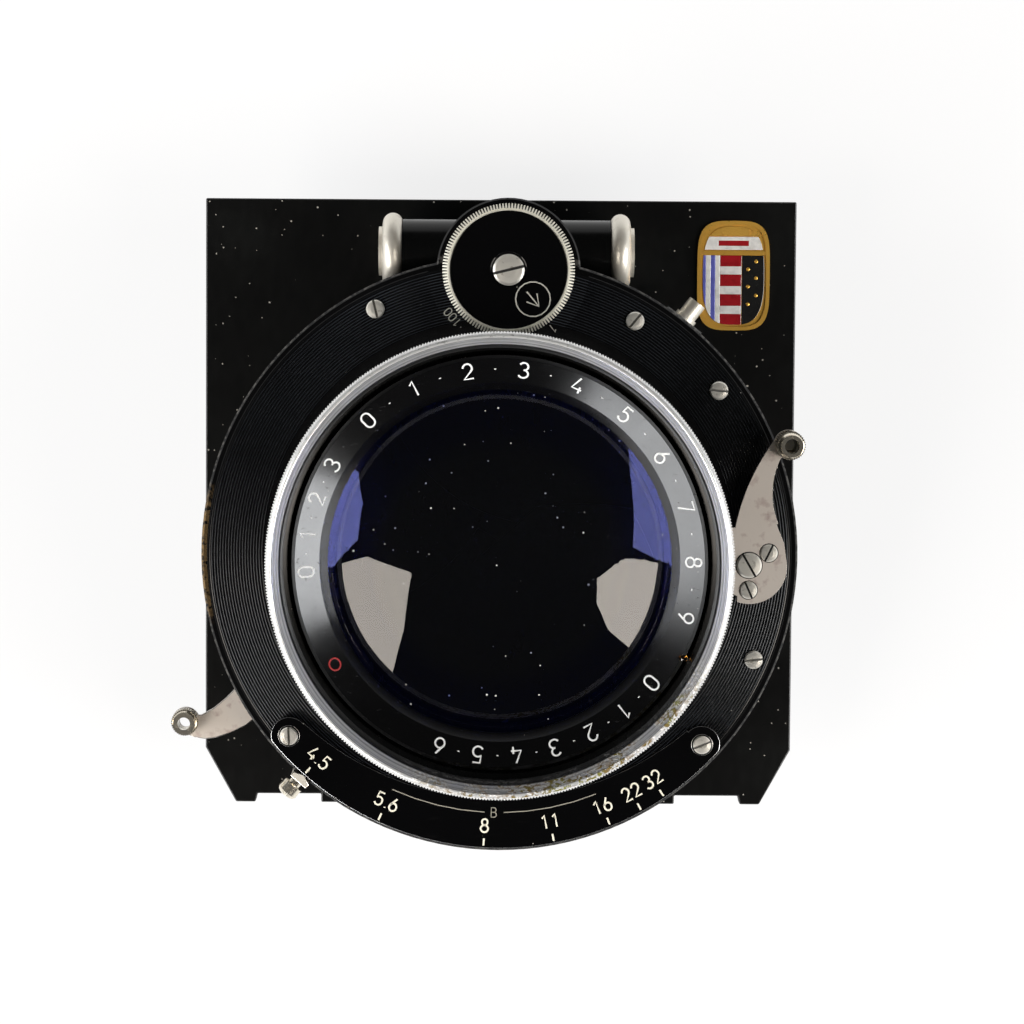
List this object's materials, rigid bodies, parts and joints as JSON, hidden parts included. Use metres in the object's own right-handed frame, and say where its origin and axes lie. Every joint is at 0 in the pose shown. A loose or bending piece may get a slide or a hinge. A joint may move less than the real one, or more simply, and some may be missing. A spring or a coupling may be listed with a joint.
{
  "type": "large-format lens in a leaf shutter on a lens board",
  "caption": "Camera lens in a round dial-set leaf shutter with levers, air brake and iris scale, on a flat black lens board.",
  "frame": {"origin": "on the optical axis at the rear rim of the rear barrel, which the part stands on when it lies face up", "axes": "+Z along the optical axis towards the subject, +Y to the top of the lens board, where the speed dial is, +X to the right as seen from the front"},
  "size_m": [0.1003, 0.1034, 0.0674],
  "materials": {
    "board_paint": "semi-matt black stove paint, lightly specked, worn at the corners",
    "badge_enamel": "gilt rim with fired enamel fields",
    "rear_steel": "turned and lightly oxidised",
    "case_paint": "black enamel",
    "cover_lacquer": "black lacquer over fine turned grooves, rubbed bright at the rim",
    "nickel_screws": "polished nickel, slotted",
    "scale_enamel": "smooth black enamel with cream filled marks",
    "nickel_plate": "nickel plate with a soft polish",
    "inner_aluminium": "plain turned",
    "inner_brass": "plain turned",
    "spring_steel": "ground",
    "lens_lacquer": "black lens lacquer",
    "rim_aluminium": "satin, fine knurl, light corrosion",
    "name_ring_black": "satin black anodise with filled marks",
    "lens_glass": "coated, blue bloom",
    "dial_black": "gloss black disc in a nickel knurl",
    "lever_nickel": "satin nickel plate, lightly tarnished",
    "leaf_steel": "blued and matt"
  },
  "bodies": {
    "body": {"lens_board": "board_paint", "board_badge": "badge_enamel", "retaining_ring": "rear_steel", "shutter_case": "case_paint", "front_cover": "cover_lacquer", "cover_screws": "nickel_screws", "scale_plate": "scale_enamel", "scale_plate_screws": "nickel_screws", "air_cylinder": "case_paint", "cylinder_cap_left": "nickel_plate", "cylinder_cap_right": "nickel_plate", "cable_socket": "nickel_plate", "socket_flange": "rear_steel", "blade_deck": "inner_aluminium", "mechanism_deck": "inner_brass", "main_spring": "spring_steel", "front_barrel": "lens_lacquer", "front_rim_ring": "rim_aluminium", "name_ring": "name_ring_black", "front_element": "lens_glass", "middle_element": "lens_glass", "rear_barrel": "lens_lacquer", "rear_inner_element": "lens_glass", "rear_outer_element": "lens_glass", "rear_retaining_ring": "lens_lacquer"},
    "dial": {"speed_dial": "dial_black", "dial_screw": "nickel_screws", "dial_spindle": "inner_brass"},
    "cocking": {"cocking_lever": "lever_nickel", "cocking_knob": "nickel_plate", "cocking_pivot_screw": "nickel_screws", "cocking_lever_screws": "nickel_screws", "cocking_crank": "rear_steel"},
    "winding": {"winding_ring": "spring_steel"},
    "brake_piston": {"piston": "inner_brass"},
    "release": {"release_lever": "lever_nickel", "release_knob": "nickel_plate"},
    "aperture": {"aperture_ring": "inner_aluminium", "aperture_pointer": "nickel_plate", "aperture_knob": "nickel_plate"},
    "blade_drive": {"blade_ring": "spring_steel"},
    "leaf_01": {"iris_leaf_01": "leaf_steel"},
    "leaf_02": {"iris_leaf_02": "leaf_steel"},
    "leaf_03": {"iris_leaf_03": "leaf_steel"},
    "leaf_04": {"iris_leaf_04": "leaf_steel"},
    "leaf_05": {"iris_leaf_05": "leaf_steel"},
    "leaf_06": {"iris_leaf_06": "leaf_steel"},
    "leaf_07": {"iris_leaf_07": "leaf_steel"},
    "leaf_08": {"iris_leaf_08": "leaf_steel"},
    "leaf_09": {"iris_leaf_09": "leaf_steel"},
    "leaf_10": {"iris_leaf_10": "leaf_steel"},
    "blade_1": {"shutter_blade_1": "leaf_steel"},
    "blade_2": {"shutter_blade_2": "leaf_steel"},
    "blade_3": {"shutter_blade_3": "leaf_steel"},
    "blade_4": {"shutter_blade_4": "leaf_steel"},
    "blade_5": {"shutter_blade_5": "leaf_steel"}
  },
  "joints": [
    {"name": "dial_turn", "type": "hinge", "parent": "body", "child": "dial", "pos_m": [0.0011, 0.0449, 0.047], "axis": [0, 0, 1], "range_deg": [0, 272]},
    {"name": "cocking_swing", "type": "hinge", "parent": "body", "child": "cocking", "pos_m": [0.0392, -0.00115, 0.046], "axis": [0, 0, 1], "range_deg": [-60, 0], "stiffness_Nm_per_rad": 0.05},
    {"name": "winding_turn", "type": "hinge", "parent": "body", "child": "winding", "pos_m": [0, 0, 0.0385], "axis": [0, 0, 1], "range_deg": [0, 8.3]},
    {"name": "piston_travel", "type": "slide", "parent": "body", "child": "brake_piston", "axis": [1, 0, 0], "range_m": [-0.006, 0]},
    {"name": "release_swing", "type": "hinge", "parent": "body", "child": "release", "pos_m": [-0.0363, -0.0192, 0.0375], "axis": [0, 0, 1], "range_deg": [0, 10], "stiffness_Nm_per_rad": 0.05},
    {"name": "aperture_turn", "type": "hinge", "parent": "body", "child": "aperture", "pos_m": [0, 0, 0.0315], "axis": [0, 0, 1], "range_deg": [0, 76]},
    {"name": "blade_ring_turn", "type": "hinge", "parent": "body", "child": "blade_drive", "pos_m": [0, 0, 0.0353], "axis": [0, 0, 1], "range_deg": [-5.6, 0], "stiffness_Nm_per_rad": 0.2},
    {"name": "leaf_01_swing", "type": "hinge", "parent": "body", "child": "leaf_01", "pos_m": [0.035, 0, 0.0275], "axis": [0, 0, 1], "range_deg": [0, 29.7]},
    {"name": "leaf_02_swing", "type": "hinge", "parent": "body", "child": "leaf_02", "pos_m": [0.02832, 0.02057, 0.0275], "axis": [0, 0, 1], "range_deg": [0, 29.7]},
    {"name": "leaf_03_swing", "type": "hinge", "parent": "body", "child": "leaf_03", "pos_m": [0.01082, 0.03329, 0.0275], "axis": [0, 0, 1], "range_deg": [0, 29.7]},
    {"name": "leaf_04_swing", "type": "hinge", "parent": "body", "child": "leaf_04", "pos_m": [-0.01082, 0.03329, 0.0275], "axis": [0, 0, 1], "range_deg": [0, 29.7]},
    {"name": "leaf_05_swing", "type": "hinge", "parent": "body", "child": "leaf_05", "pos_m": [-0.02832, 0.02057, 0.0275], "axis": [0, 0, 1], "range_deg": [0, 29.7]},
    {"name": "leaf_06_swing", "type": "hinge", "parent": "body", "child": "leaf_06", "pos_m": [-0.035, 0, 0.0275], "axis": [0, 0, 1], "range_deg": [0, 29.7]},
    {"name": "leaf_07_swing", "type": "hinge", "parent": "body", "child": "leaf_07", "pos_m": [-0.02832, -0.02057, 0.0275], "axis": [0, 0, 1], "range_deg": [0, 29.7]},
    {"name": "leaf_08_swing", "type": "hinge", "parent": "body", "child": "leaf_08", "pos_m": [-0.01082, -0.03329, 0.0275], "axis": [0, 0, 1], "range_deg": [0, 29.7]},
    {"name": "leaf_09_swing", "type": "hinge", "parent": "body", "child": "leaf_09", "pos_m": [0.01082, -0.03329, 0.0275], "axis": [0, 0, 1], "range_deg": [0, 29.7]},
    {"name": "leaf_10_swing", "type": "hinge", "parent": "body", "child": "leaf_10", "pos_m": [0.02832, -0.02057, 0.0275], "axis": [0, 0, 1], "range_deg": [0, 29.7]},
    {"name": "blade_1_swing", "type": "hinge", "parent": "body", "child": "blade_1", "pos_m": [0.034, 0, 0.0337], "axis": [0, 0, 1], "range_deg": [-44.1, 0]},
    {"name": "blade_2_swing", "type": "hinge", "parent": "body", "child": "blade_2", "pos_m": [0.01051, 0.03234, 0.0337], "axis": [0, 0, 1], "range_deg": [-44.1, 0]},
    {"name": "blade_3_swing", "type": "hinge", "parent": "body", "child": "blade_3", "pos_m": [-0.02751, 0.01998, 0.0337], "axis": [0, 0, 1], "range_deg": [-44.1, 0]},
    {"name": "blade_4_swing", "type": "hinge", "parent": "body", "child": "blade_4", "pos_m": [-0.02751, -0.01998, 0.0337], "axis": [0, 0, 1], "range_deg": [-44.1, 0]},
    {"name": "blade_5_swing", "type": "hinge", "parent": "body", "child": "blade_5", "pos_m": [0.01051, -0.03234, 0.0337], "axis": [0, 0, 1], "range_deg": [-44.1, 0]}
  ],
  "couplings": [
    {"joint": "winding_turn", "follows": "cocking_swing", "ratio": -0.13655},
    {"joint": "piston_travel", "follows": "cocking_swing", "m_per_rad": 0.0055936},
    {"joint": "leaf_01_swing", "follows": "aperture_turn", "ratio": 0.38947},
    {"joint": "leaf_02_swing", "follows": "aperture_turn", "ratio": 0.38947},
    {"joint": "leaf_03_swing", "follows": "aperture_turn", "ratio": 0.38947},
    {"joint": "leaf_04_swing", "follows": "aperture_turn", "ratio": 0.38947},
    {"joint": "leaf_05_swing", "follows": "aperture_turn", "ratio": 0.38947},
    {"joint": "leaf_06_swing", "follows": "aperture_turn", "ratio": 0.38947},
    {"joint": "leaf_07_swing", "follows": "aperture_turn", "ratio": 0.38947},
    {"joint": "leaf_08_swing", "follows": "aperture_turn", "ratio": 0.38947},
    {"joint": "leaf_09_swing", "follows": "aperture_turn", "ratio": 0.38947},
    {"joint": "leaf_10_swing", "follows": "aperture_turn", "ratio": 0.38947},
    {"joint": "blade_1_swing", "follows": "blade_ring_turn", "ratio": 7.8571},
    {"joint": "blade_2_swing", "follows": "blade_ring_turn", "ratio": 7.8571},
    {"joint": "blade_3_swing", "follows": "blade_ring_turn", "ratio": 7.8571},
    {"joint": "blade_4_swing", "follows": "blade_ring_turn", "ratio": 7.8571},
    {"joint": "blade_5_swing", "follows": "blade_ring_turn", "ratio": 7.8571}
  ]
}
